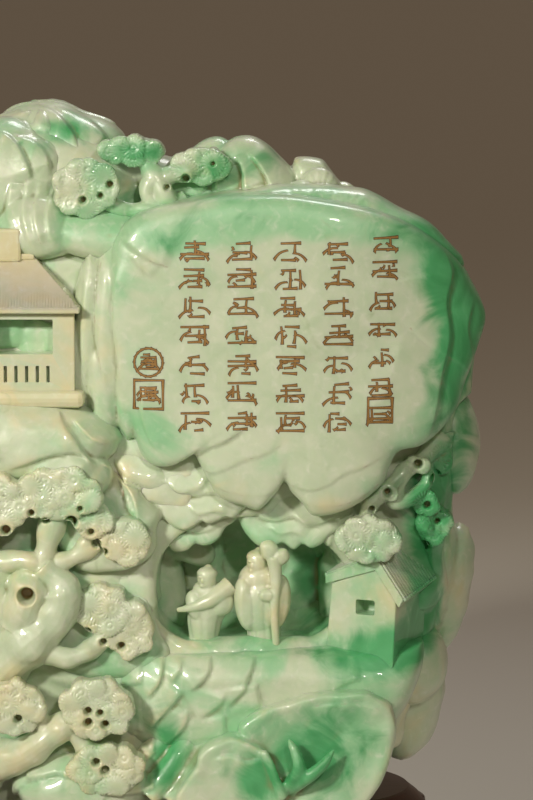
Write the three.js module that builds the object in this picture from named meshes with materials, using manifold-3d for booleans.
// A jadeite boulder carved as a mountain landscape, standing in a fitted hardwood stand.
// Millimetres, +Z up, the front faces -Y. The origin is the middle of the stand's underside.
import * as THREE from "three";
import { mergeVertices } from "three/addons/utils/BufferGeometryUtils.js";
import Module from "manifold-3d";

const wasm = await Module();
wasm.setup();

// Driving sizes of the boulder and of the stand.
const BOULDER_FOOT_Z = 24; // flat underside of the boulder, inside the stand's socket
const MASS_Y = 2; // the plane of the boulder's rim, as seen from the front
const MASS_FRONT = 36; // how far the plain mass swells forward of that plane
const MASS_BACK = 40; // and how far it swells behind it
const STAND_TOP_Z = 36;
const STAND_HALF_WIDTH = 117;
const STAND_HALF_DEPTH = 52;
const SOCKET_GAP = 0.4; // clearance between the jade and the wood

const JADE = { color: 0xa9cfa4, roughness: 0.18, metalness: 0 };
const HARDWOOD = { color: 0x2a1710, roughness: 0.35, metalness: 0 };

const radians = THREE.MathUtils.degToRad;

// A closed geometry becomes a solid that faces outwards.
function solid(geometry) {
  const bare = geometry.index ? geometry.toNonIndexed() : geometry.clone();
  for (const name of Object.keys(bare.attributes)) {
    if (name !== "position") bare.deleteAttribute(name);
  }
  const merged = mergeVertices(bare, 1e-3);
  const triVerts = new Uint32Array(merged.index.array);
  const vertProperties = merged.attributes.position.array;
  const made = new wasm.Manifold(new wasm.Mesh({ numProp: 3, vertProperties, triVerts }));
  if (made.volume() > 0) return made;
  for (let i = 0; i < triVerts.length; i += 3) {
    [triVerts[i + 1], triVerts[i + 2]] = [triVerts[i + 2], triVerts[i + 1]];
  }
  return new wasm.Manifold(new wasm.Mesh({ numProp: 3, vertProperties, triVerts }));
}

const join = (solids) => wasm.Manifold.union(solids);

// Moves every vertex of a geometry to where place(x, y, z) says.
function reshape(geometry, place) {
  const position = geometry.getAttribute("position");
  for (let i = 0; i < position.count; i++) {
    position.setXYZ(i, ...place(position.getX(i), position.getY(i), position.getZ(i)));
  }
  return geometry;
}

// The section of a rounded stone, from its foremost point to its hindmost, as [reach, depth] shares.
function rounded(edge, rings) {
  return Array.from({ length: rings + 1 }, (_, i) => {
    const [sine, cosine] = [Math.sin((Math.PI * i) / rings), Math.cos((Math.PI * i) / rings)];
    return [Math.pow(sine, 2 / edge), Math.sign(cosine) * Math.pow(Math.abs(cosine), 2 / edge)];
  });
}

const STONE = [[0, 1], [0.7, 0.82], [1, 0.1], [0, -1]];
const FAN = [[0, 0.86], [0.8, 1], [1, 0.3], [0, -1]];
const LEAF = [[0, 0.62], [0.6, 0.66], [0.88, 1], [1, 0.4], [0, -1]];

// A ball drawn out sideways to an outline, as seen from the front, and in depth to a section.
// reach(angle) is the outline's radius, and place moves the finished points.
function swell([cx, cy, cz], reach, front, back, options = {}) {
  const { sides = 8, section = STONE, place = (x, y, z) => [x, y, z] } = options;
  const rings = section.length - 1;
  return solid(
    reshape(new THREE.SphereGeometry(1, sides, rings), (x, y, z) => {
      const [share, depth] = section[Math.round((Math.acos(THREE.MathUtils.clamp(y, -1, 1)) * rings) / Math.PI)];
      const angle = Math.atan2(z, x);
      const out = share * reach(angle);
      const forward = depth * (depth > 0 ? front : back);
      return place(cx + out * Math.cos(angle), cy - forward, cz + out * Math.sin(angle));
    }),
  );
}

// The outline of a plain stone: an oval, turned, waved at its edge and drawn to a tip at its lower end.
function oval(w, h, { turn = 0, tip = 0, wave = 0.07, seed = 1 } = {}) {
  return (angle) => {
    const a = angle - radians(turn);
    const low = Math.max(0, -Math.sin(a));
    const narrow = 1 - tip * low * Math.abs(Math.cos(a));
    const waved = 1 + wave * (0.6 * Math.sin(3 * a + 1.7 * seed) + 0.4 * Math.sin(5 * a + 2.9 * seed));
    return (narrow * waved * w * h) / Math.hypot(h * Math.cos(a), w * Math.sin(a));
  };
}

// centre is [x, y, z] and half is [half width, depth, half height]; hang tips the lower end forward.
function stone([x, y, z], [w, d, h], options = {}) {
  const { hang = 0.3 } = options;
  const place = (px, py, pz) => [px, py + hang * (pz - z), pz];
  return swell([x, y, z], oval(w, h, options), d, d, { ...options, place });
}

// The outline through a few points, as a radius about the middle.
function traced([cx, cz], points) {
  const curve = new THREE.CatmullRomCurve3(
    points.map(([x, z]) => new THREE.Vector3(x - cx, 0, z - cz)),
    true,
    "centripetal",
  );
  const samples = curve
    .getPoints(16 * points.length)
    .slice(1)
    .map((p) => ({ angle: Math.atan2(p.z, p.x), radius: Math.hypot(p.x, p.z) }))
    .sort((a, b) => a.angle - b.angle);
  const first = samples[0];
  const last = samples[samples.length - 1];
  samples.unshift({ angle: last.angle - 2 * Math.PI, radius: last.radius });
  samples.push({ angle: first.angle + 2 * Math.PI, radius: first.radius });
  return (angle) => {
    const after = Math.max(1, samples.findIndex((s) => s.angle >= angle));
    const [a, b] = [samples[after - 1], samples[after]];
    const share = (angle - a.angle) / Math.max(b.angle - a.angle, 1e-9);
    return a.radius + (b.radius - a.radius) * share;
  };
}

// A round limb that follows a smooth curve through points, thinner or thicker along it.
function limb(points, radii, sides = 5, steps = points.length) {
  const curve = new THREE.CatmullRomCurve3(points.map((p) => new THREE.Vector3(...p)));
  const frames = curve.computeFrenetFrames(steps);
  const tube = new THREE.CylinderGeometry(1, 1, steps, sides, steps);
  return solid(
    reshape(tube, (x, y, z) => {
      const step = Math.round(y + steps / 2);
      const along = step / steps;
      const spot = (radii.length - 1) * along;
      const before = Math.min(Math.floor(spot), radii.length - 2);
      const radius = THREE.MathUtils.lerp(radii[before], radii[before + 1], spot - before);
      const p = curve.getPointAt(along);
      p.addScaledVector(frames.normals[step], x * radius);
      p.addScaledVector(frames.binormals[step], z * radius);
      return [p.x, p.y, p.z];
    }),
  );
}

// A box from its lowest to its highest corner; the top may be drawn in to make a hipped roof.
function block([x0, y0, z0], [x1, y1, z1], topInset = [0, 0]) {
  const box = new THREE.BoxGeometry(x1 - x0, y1 - y0, z1 - z0);
  box.translate((x0 + x1) / 2, (y0 + y1) / 2, (z0 + z1) / 2);
  const middle = [(x0 + x1) / 2, (y0 + y1) / 2];
  return solid(
    reshape(box, (x, y, z) => {
      if (z < z1 - 1e-6) return [x, y, z];
      return [
        x - Math.sign(x - middle[0]) * topInset[0],
        y - Math.sign(y - middle[1]) * topInset[1],
        z,
      ];
    }),
  );
}

// The mountain's plain mass, thicker towards its foot. Its outline is what the eye sees against the sky.
const MASS_MIDDLE = [0, 132];
const MASS_OUTLINE = [
  [92, 0], [103, 36], [113, 56], [119, 84], [124, 104], [123, 122], [127, 142], [130, 164],
  [133, 187], [122, 206], [98, 219], [72, 227], [46, 230], [22, 238], [2, 247], [-20, 242],
  [-48, 232], [-76, 221], [-100, 207], [-118, 187], [-128, 160], [-127, 132], [-123, 104],
  [-119, 80], [-113, 58], [-103, 36], [-92, 0], [0, -8],
];
const massReach = traced(MASS_MIDDLE, MASS_OUTLINE);
const MASS_EDGE = 3;
const thicker = (z) => 1 - 0.0018 * (z - MASS_MIDDLE[1]);

function mass() {
  const place = (x, y, z) => [x, MASS_Y + (y - MASS_Y) * thicker(z), z];
  const middle = [MASS_MIDDLE[0], MASS_Y, MASS_MIDDLE[1]];
  const options = { sides: 28, section: rounded(MASS_EDGE, 8), place };
  return swell(middle, massReach, MASS_FRONT, MASS_BACK, options);
}

// How far the plain mass stands out at (x, z), so that stones can sit on it.
function massDepth(x, z, swelling) {
  const [dx, dz] = [x - MASS_MIDDLE[0], z - MASS_MIDDLE[1]];
  const share = Math.min(1, Math.hypot(dx, dz) / massReach(Math.atan2(dz, dx)));
  return swelling * thicker(z) * Math.pow(1 - Math.pow(share, MASS_EDGE), 1 / MASS_EDGE);
}

// The smooth face at the right that carries the inscription. It bends back at its right edge.
function inscriptionFace() {
  const middle = [78, 174];
  const outline = [
    [24, 212], [45, 223], [78, 226], [100, 222], [118, 213], [130, 200], [134, 187], [130, 172],
    [127, 160], [119, 150], [107, 143], [103, 133], [92, 126], [82, 125], [75, 134], [66, 126],
    [54, 130], [46, 145], [38, 142], [30, 142], [27, 152], [22, 164], [21, 190],
  ];
  const place = (x, y, z) => {
    const bend = 0.0068 * Math.max(0, x - middle[0] - 4) ** 2 - 0.05 * (x - middle[0]);
    return [x, y + bend, z];
  };
  const options = { sides: 28, section: rounded(3.6, 6), place };
  return swell([middle[0], -26, middle[1]], traced(middle, outline), 19, 24, options);
}

// Upright folds of rock along the left of that face, then the layers that run on below them.
function foldsBesideTheFace() {
  const fold = { sides: 7, wave: 0.04, hang: 0 };
  return [
    stone([15, -31, 184], [5, 8, 23], { ...fold, turn: 2 }),
    stone([24, -33, 181], [8, 9, 30], { ...fold, turn: 3, seed: 3 }),
    stone([24, -33, 148], [8, 9, 17], { ...fold, turn: 32, seed: 6 }),
    stone([40, -28, 136], [10, 12, 10], { turn: 20, tip: 0.4, seed: 8 }),
  ];
}

// Peaks along the top, each a shell of rock that lies over the one behind it.
function peaks() {
  const shell = { sides: 8 };
  return [
    stone([5, 2, 238], [20, 16, 14], { ...shell, turn: -12, seed: 4 }),
    stone([-12, -11, 229], [21, 14, 16], { ...shell, turn: -10, seed: 2 }),
    stone([-1, -22, 214], [13, 11, 10], { turn: -14, seed: 5 }),
    stone([18, -24, 212], [17, 10, 8], { turn: -4, seed: 6, wave: 0.05 }),
    stone([57, 0, 229], [14, 14, 12], { ...shell, seed: 8 }),
    stone([71, -3, 227], [10, 12, 10], { turn: -16, seed: 9 }),
    stone([84, -7, 225], [8, 9, 8], { seed: 11 }),
    stone([86, -15, 218], [26, 10, 5], { turn: -8, wave: 0.03, seed: 13 }),
    stone([-42, -8, 226], [19, 15, 15], { ...shell, turn: 14, seed: 14 }),
    stone([-64, -5, 219], [19, 16, 14], { ...shell, turn: 22, seed: 16 }),
    stone([-88, 0, 206], [20, 17, 15], { ...shell, turn: 30, seed: 18 }),
  ];
}

// The cliff at the left, in upright layers that hang over one another.
function leftCliff() {
  const layer = { sides: 9, wave: 0.05, hang: 0.12 };
  return [
    stone([-94, -14, 176], [31, 20, 38], { ...layer, turn: 6, tip: 0.2, seed: 1 }),
    stone([-68, -22, 182], [20, 16, 34], { ...layer, turn: 4, tip: 0.3, seed: 2 }),
    stone([-112, -6, 158], [20, 18, 34], { ...layer, turn: -4, tip: 0.2, seed: 3 }),
    stone([-84, -26, 150], [15, 14, 20], { ...layer, turn: 8, tip: 0.4, seed: 5 }),
    stone([-106, -17, 132], [16, 15, 18], { turn: 10, tip: 0.4, seed: 7 }),
    stone([-118, -2, 104], [12, 17, 26], { turn: 4, tip: 0.3, seed: 9 }),
  ];
}

// The pavilion: a base, walls with two openings over a railing, and a hipped roof with a tall ridge.
function pavilion() {
  const [left, right, front, back] = [-40, 10.5, -40, -16];
  const middle = (left + right) / 2;
  const base = block([left - 2, front - 3, 161], [right + 3, back, 166]);
  const walls = block([left, front, 165], [right, back, 191]);
  const eaves = block([left - 1, front - 3, 190], [right + 1.5, back + 3, 192]);
  const roof = block([left - 1, front - 3, 191.9], [right + 1.5, back + 3, 206], [14, 12.4]);
  const ridge = block([middle - 9, -33, 204], [middle + 9, -26, 214]);
  const openings = [
    block([left + 6, front - 1, 177], [middle - 2, front + 9, 187.5]),
    block([middle + 1.5, front - 1, 177], [right - 6.5, front + 9, 187.5]),
  ];
  const slots = Array.from({ length: 7 }, (_, i) => {
    const x = right - 8 - 4.8 * i;
    return block([x - 0.6, front - 1, 168.5], [x + 0.6, front + 3, 173.5]);
  });
  return join([base, walls, eaves, roof, ridge]).subtract(join([...openings, ...slots]));
}

// Smooth slopes below the pavilion, and the ridge that runs down from them beside the hollow.
function pavilionSlope() {
  return [
    stone([-13, -30, 151], [37, 18, 14], { sides: 10, wave: 0.03, hang: 0.1 }),
    stone([6, -36, 144], [17, 12, 9], { sides: 9, turn: -20, seed: 2, hang: 0.2 }),
    stone([-46, -29, 134], [22, 17, 16], { turn: 18, tip: 0.3, seed: 5 }),
    limb([[21, -33, 152], [29, -36, 134], [37, -33, 114], [38, -29, 84]], [8, 7, 6, 8], 6, 5),
  ];
}

// The hollow where the two figures stand, and the clouds of rock that hang over it.
const HOLLOW = { x0: 34, x1: 92, front: -54, back: -3, floor: 87, top: 122 };

function hollow() {
  const middle = [(HOLLOW.x0 + HOLLOW.x1) / 2, -28, (HOLLOW.floor + HOLLOW.top) / 2];
  const round = oval((HOLLOW.x1 - HOLLOW.x0) / 2 + 2, (HOLLOW.top - HOLLOW.floor) / 2 + 5, { wave: 0 });
  const options = { sides: 12, section: rounded(3, 4) };
  const whole = swell(middle, round, middle[1] - HOLLOW.front, HOLLOW.back - middle[1], options);
  return whole.trimByPlane([0, 0, 1], HOLLOW.floor);
}

function cloudsOverTheHollow() {
  const cloud = { sides: 8, wave: 0.1, tip: 0.4 };
  return [
    stone([41, -26, 128], [12, 12, 12], { ...cloud, seed: 1, turn: 10 }),
    stone([53, -24, 122], [11, 11, 9], { ...cloud, seed: 2 }),
    stone([69, -20, 123], [12, 12, 9], { ...cloud, seed: 4 }),
    stone([86, -22, 124], [12, 11, 9], { ...cloud, turn: -10, seed: 5 }),
  ];
}

// The terrace in front of the hollow, level on top.
function terrace() {
  const outline = [
    [26, 66], [42, 58], [66, 56], [90, 58], [108, 62], [119, 74], [116, 88], [96, 96], [66, 98],
    [40, 97], [28, 88],
  ];
  const options = { sides: 14, section: rounded(4, 4) };
  const whole = swell([74, -16, 76], traced([74, 76], outline), 23, 22, options);
  return whole.trimByPlane([0, 0, -1], -HOLLOW.floor);
}

// Scales of rock that step down a cliff, each row lower and further forward.
function scales([x0, x1], zTop, rows, across, y) {
  const made = [];
  const reach = (0.62 * (x1 - x0)) / (across - 0.5);
  for (let row = 0; row < rows; row++) {
    for (let i = 0; i < across; i++) {
      const along = (i + (row % 2 ? 0.5 : 0)) / (across - 0.5);
      const seed = 3 * row + 5 * i + 1;
      const x = x0 + (x1 - x0) * along + 1.5 * Math.sin(seed);
      const z = zTop - 0.95 * reach * row - 2 * Math.cos(2 * seed);
      const half = [reach, 12, 1.05 * reach];
      made.push(stone([x, y - 1.5 * row, z], half, { turn: 12 * Math.sin(seed), tip: 0.4, wave: 0.1, seed }));
    }
  }
  return made;
}

// The gatehouse, turned a little so that its right wall and its right slope of roof show.
function gatehouse() {
  const [halfWidth, depth, wallTop, apex] = [10.5, 26, 24, 34];
  const wallShape = new THREE.Shape();
  wallShape.moveTo(-halfWidth - 2, 4);
  wallShape.lineTo(halfWidth, -2);
  wallShape.lineTo(halfWidth, wallTop - 1);
  wallShape.lineTo(0, apex - 1);
  wallShape.lineTo(-halfWidth, wallTop + 3);
  wallShape.closePath();
  const roofShape = new THREE.Shape();
  roofShape.moveTo(-halfWidth - 1.8, wallTop + 2.6);
  roofShape.lineTo(-halfWidth - 1.4, wallTop + 5.2);
  roofShape.lineTo(0, apex + 1.4);
  roofShape.lineTo(halfWidth + 2.6, wallTop - 1.4);
  roofShape.lineTo(halfWidth + 1.6, wallTop - 3.2);
  roofShape.lineTo(0, apex - 2.4);
  roofShape.closePath();
  const window = block([-1, -1, 17], [6, 6, 22]);
  const drawn = (shape, length, rise) => {
    const geometry = new THREE.ExtrudeGeometry(shape, { depth: length, bevelEnabled: false });
    geometry.rotateX(Math.PI / 2).translate(0, length, 0);
    return solid(reshape(geometry, (x, y, z) => [x, y, z + (z > 0 ? rise * y : 0)]));
  };
  const walls = drawn(wallShape, depth, 0.1).subtract(window);
  const roof = drawn(roofShape, depth + 1.6, 0.1).translate([0, -0.8, 0]);
  return walls.add(roof).rotate([0, 0, -16]).translate([97, -37, 79]);
}

// A fan of pine needles: a scalloped disc that stands on edge.
function pad(centre, [w, d, h], options = {}) {
  const { scallops = 6, turn = 0 } = options;
  const reach = (angle) => {
    const a = angle - radians(turn);
    const cut = 0.93 + 0.07 * Math.cos(scallops * angle);
    return (cut * w * h) / Math.hypot(h * Math.cos(a), w * Math.sin(a));
  };
  return swell(centre, reach, d, 1.6 * d, { sides: 2 * scallops, section: FAN });
}

// The pine on the summit.
function summitPine() {
  return [
    pad([13, -29, 226], [10.5, 4, 9.5]),
    pad([27, -22, 236], [11, 5, 5], { turn: -8 }),
    pad([50, -20, 232], [8, 4, 7]),
    limb([[45, -14, 216], [37, -24, 224], [36, -22, 231], [30, -18, 234]], [4.5, 3.4, 3, 2.4]),
    limb([[38, -24, 223], [30, -27, 221.5], [18, -28, 224]], [3.2, 2.4, 2.6]),
    limb([[37, -23, 228], [43, -21, 230], [49, -19, 231]], [2.6, 2.2, 2.4]),
  ];
}

// The big pine at the left of the hollow: crown, trunk with its knot, and lower branches.
function greatPine() {
  return [
    pad([-9, -47, 134], [14, 5, 10], { scallops: 7 }),
    pad([14, -46, 136], [13, 5, 10], { scallops: 7 }),
    pad([26, -43, 121], [10, 5, 9]),
    pad([24, -40, 96], [12, 5, 12], { scallops: 7 }),
    pad([-27, -43, 120], [13, 5, 9]),
    limb([[-12, -36, 86], [-2, -43, 98], [4, -44, 112], [7, -43, 130]], [9, 7, 4.6, 3.6], 6, 5),
    limb([[4, -43, 112], [13, -43, 119], [24, -42, 120]], [3.6, 3, 2.8]),
    limb([[2, -43, 112], [-8, -43, 119], [-24, -42, 119]], [3.6, 3, 2.8]),
    limb([[-1, -43, 92], [8, -43, 88], [20, -39, 93]], [3.6, 2.8, 3]),
  ];
}

// The low pine in front, beside the foot of the cliff.
function lowPine() {
  return [
    pad([-7, -49, 71], [9, 4, 9]),
    pad([17, -49, 71], [11.5, 4, 10], { scallops: 7 }),
    pad([20, -48, 52], [12, 4, 8.5]),
    limb([[-14, -38, 52], [-3, -46, 57], [4, -47, 64], [14, -47, 70]], [5, 4.2, 3.4, 3], 5, 5),
    limb([[3, -47, 63], [1, -47, 67], [-5, -47, 70]], [3, 2.6, 2.6]),
    limb([[9, -47, 67], [13, -47, 60], [17, -46, 53]], [2.8, 2.4, 2.6]),
  ];
}

// The pierced pine that climbs the right edge, over the gatehouse.
function edgePine() {
  return [
    pad([101, -30, 120], [11, 5, 8], { turn: -20 }),
    pad([118, -14, 121], [7.5, 6, 9.5], { turn: 14 }),
    limb([[102, -26, 122], [110, -22, 131], [117, -16, 136], [123, -10, 146]], [3.4, 3.4, 3.6, 4.4]),
    limb([[117, -16, 134], [122, -12, 127], [120, -10, 116]], [3.2, 3, 2.6]),
  ];
}

// Stones that make the right edge, from the shoulder down to the foot.
function rightEdge() {
  const smooth = { sides: 8, wave: 0.03, hang: 0 };
  return [
    stone([128, 4, 184], [8, 20, 24], { ...smooth, turn: 8, seed: 7 }),
    stone([125, 2, 146], [9, 16, 18], { ...smooth, turn: 6 }),
    stone([125, 8, 98], [7, 14, 21], { ...smooth, turn: -10, seed: 3 }),
    stone([117, -3, 100], [7, 13, 24], { ...smooth, turn: -12, seed: 4 }),
    stone([112, -10, 78], [11, 14, 13], { ...smooth, turn: -20, seed: 5 }),
    stone([113, 4, 62], [10, 18, 19], { ...smooth, turn: -14, seed: 6 }),
  ];
}

// A curling rock like a leaf, dished in the middle with a raised rim.
function leafRock([x, z], y, outline, thickness, curl) {
  const place = (px, py, pz) => [px, py + curl * Math.max(0, px - x) ** 2, pz];
  const options = { sides: 14, section: LEAF, place };
  return swell([x, y, z], traced([x, z], outline), thickness, 14, options);
}

function footRocks() {
  const rightOutline = [
    [57, 60], [66, 69], [80, 74], [98, 76], [109, 69], [107, 56], [98, 46], [88, 40], [76, 40], [66, 47],
  ];
  const leftOutline = [[37, 44], [44, 54], [50, 61], [60, 61], [68, 57], [72, 48], [62, 40], [48, 39]];
  return [
    leafRock([84, 58], -35, rightOutline, 14, 0.008),
    leafRock([56, 51], -38, leftOutline, 13, 0),
    limb([[75, -46, 47], [77, -52, 53], [74, -52, 61]], [2, 2.2, 0.6], 4),
    limb([[77, -46, 48], [82, -52, 53], [88, -51, 58]], [2, 2, 0.6], 4),
    stone([12, -36, 46], [22, 14, 11], { sides: 9, seed: 1, hang: 0.1 }),
    stone([-28, -34, 50], [19, 15, 15], { tip: 0.2, seed: 3, turn: 10, hang: 0.1 }),
    stone([-62, -30, 51], [20, 16, 16], { tip: 0.2, seed: 4, turn: -8, hang: 0.1 }),
    stone([-94, -14, 52], [19, 20, 17], { tip: 0.2, seed: 5, hang: 0.1 }),
    stone([-108, 8, 66], [13, 20, 24], { seed: 6, turn: 10, hang: 0 }),
  ];
}

// The scholar, seen from the side and the back, with a tall staff.
function scholar() {
  return [
    limb([[66.5, -27, 84], [67, -27, 93], [67.5, -27, 104], [65, -27, 110]], [5, 5.6, 7, 3], 7, 4),
    stone([63.5, -28, 112], [3.8, 4, 4.2], { sides: 6, wave: 0, hang: 0 }),
    limb([[71, -30, 84], [71.5, -31, 100], [70.5, -30, 115]], [1.7, 1.5, 2], 4, 3),
    stone([70, -29, 116], [4.8, 3.4, 3], { sides: 6, turn: -20, wave: 0.05, hang: 0 }),
  ];
}

// The attendant, stooping, with a wrapped zither under the arm.
function attendant() {
  return [
    limb([[49, -23, 84], [50, -24, 90], [51, -25, 98], [49.5, -26, 104]], [4.4, 5.4, 5.6, 2.8], 7, 4),
    stone([49, -27, 105.5], [3.3, 3.6, 3.5], { sides: 6, wave: 0, hang: 0 }),
    limb([[40, -28, 94.5], [48, -30, 98.5], [57, -28, 103.5]], [1.6, 2.3, 1.9], 4, 3),
  ];
}

// The back of the mountain: large plain stones laid over one another in rows.
function stonesBehind() {
  const made = [];
  for (let row = 0; row < 3; row++) {
    const z = 76 + 60 * row;
    for (let i = 0; i < 3; i++) {
      const seed = 7 * row + 3 * i + 2;
      const half = [43 + 4 * Math.sin(seed), -14, 39 + 3 * Math.cos(seed)];
      const x = 66 * (i - 1) + (row % 2 ? 12 : -10) + 4 * Math.sin(2 * seed);
      const y = MASS_Y + massDepth(x, z, MASS_BACK) - 7;
      const options = { sides: 9, turn: 14 * Math.sin(3 * seed), tip: 0.3, seed, hang: -0.12 };
      made.push(stone([x, y, z], half, options));
    }
  }
  return made;
}

// The left of the mountain: a small pine over scales of rock.
function leftLandscape() {
  return [
    ...scales([-100, -40], 88, 2, 3, -24),
    pad([-64, -42, 113], [13, 5, 9], { scallops: 7 }),
    pad([-86, -36, 120], [10, 5, 8]),
    limb([[-48, -30, 88], [-54, -38, 98], [-62, -40, 112]], [5, 3.8, 3]),
    limb([[-56, -38, 100], [-70, -37, 108], [-86, -33, 119]], [3.4, 2.8, 2.6]),
  ];
}

// The boulder's foot is cut flat. Below the stand's top it is only the plain mass, so it lifts out.
function boulder() {
  const carved = join([
    mass().subtract(hollow()),
    inscriptionFace(),
    ...foldsBesideTheFace(),
    ...peaks(),
    ...leftCliff(),
    ...pavilionSlope(),
    pavilion(),
    ...cloudsOverTheHollow(),
    terrace(),
    ...scales([38, 92], 72, 2, 4, -26),
    ...scales([-30, 20], 90, 1, 3, -26),
    ...rightEdge(),
    ...footRocks(),
    ...leftLandscape(),
    ...stonesBehind(),
    ...edgePine(),
    gatehouse(),
    ...summitPine(),
    ...greatPine(),
    ...lowPine(),
    ...scholar(),
    ...attendant(),
  ]);
  const aboveStand = carved.trimByPlane([0, 0, 1], STAND_TOP_Z + 1);
  const foot = mass().trimByPlane([0, 0, 1], BOULDER_FOOT_Z).trimByPlane([0, 0, -1], -STAND_TOP_Z - 2);
  return aboveStand.add(foot);
}

// The stand: a lobed foot, a waist and a rounded rim, with a socket cut to the boulder's foot.
function stand() {
  const profile = [
    [0, 0.96], [7, 0.975], [10.5, 0.9], [17, 0.89], [23, 0.97], [31, 1], [STAND_TOP_Z, 0.96],
  ];
  const sides = 32;
  const levels = profile.length - 1;
  const lobed = (a) => {
    const corner = Math.hypot(Math.cos(a) / STAND_HALF_WIDTH, Math.sin(a) / STAND_HALF_DEPTH);
    const square = Math.pow(
      Math.pow(Math.abs(Math.cos(a)) / STAND_HALF_WIDTH, 3) +
        Math.pow(Math.abs(Math.sin(a)) / STAND_HALF_DEPTH, 3),
      -1 / 3,
    );
    return (0.5 / corner + 0.5 * square) * (1 - 0.025 + 0.025 * Math.cos(8 * a));
  };
  const drum = new THREE.CylinderGeometry(1, 1, levels, sides, levels);
  const body = solid(
    reshape(drum, (x, y, z) => {
      const [height, share] = profile[Math.round(y + levels / 2)];
      const a = Math.atan2(z, x);
      const r = Math.hypot(x, z) < 1e-6 ? 0 : lobed(a) * share;
      return [r * Math.cos(a), r * Math.sin(a), height];
    }),
  );
  const grown = (size) => (size + 2 * SOCKET_GAP) / size;
  const socket = mass()
    .translate([0, -MASS_Y, 0])
    .scale([grown(200), grown(66), 1])
    .translate([0, MASS_Y, 0])
    .trimByPlane([0, 0, 1], BOULDER_FOOT_Z - SOCKET_GAP);
  return body.translate([0, 1, 0]).subtract(socket);
}

// The triangles of the outermost skin only, so that a pocket closed in between stones is solid.
function outerSkin({ vertProperties, triVerts }) {
  const leader = Array.from({ length: vertProperties.length / 3 }, (_, i) => i);
  const find = (i) => {
    while (leader[i] !== i) i = leader[i] = leader[leader[i]];
    return i;
  };
  for (let t = 0; t < triVerts.length; t += 3) {
    leader[find(triVerts[t])] = find(triVerts[t + 1]);
    leader[find(triVerts[t + 1])] = find(triVerts[t + 2]);
  }
  const corner = (i) => new THREE.Vector3().fromArray(vertProperties, 3 * i);
  const skins = new Map();
  for (let t = 0; t < triVerts.length; t += 3) {
    const [a, b, c] = triVerts.subarray(t, t + 3);
    const skin = skins.get(find(a)) ?? { volume: 0, triangles: [] };
    skin.volume += corner(a).dot(corner(b).cross(corner(c))) / 6;
    skin.triangles.push(a, b, c);
    skins.set(find(a), skin);
  }
  return [...skins.values()].reduce((most, skin) => (skin.volume > most.volume ? skin : most)).triangles;
}

// A finished solid as a named mesh.
function piece(name, made, finish) {
  const mesh = made.getMesh();
  const geometry = new THREE.BufferGeometry();
  geometry.setAttribute("position", new THREE.BufferAttribute(new Float32Array(mesh.vertProperties), 3));
  geometry.setIndex(outerSkin(mesh));
  geometry.computeVertexNormals();
  const result = new THREE.Mesh(geometry, new THREE.MeshStandardMaterial(finish));
  result.name = name;
  return result;
}

const carving = new THREE.Group();
carving.add(piece("jade_boulder", boulder(), JADE));
carving.add(piece("wood_stand", stand(), HARDWOOD));

export default carving;
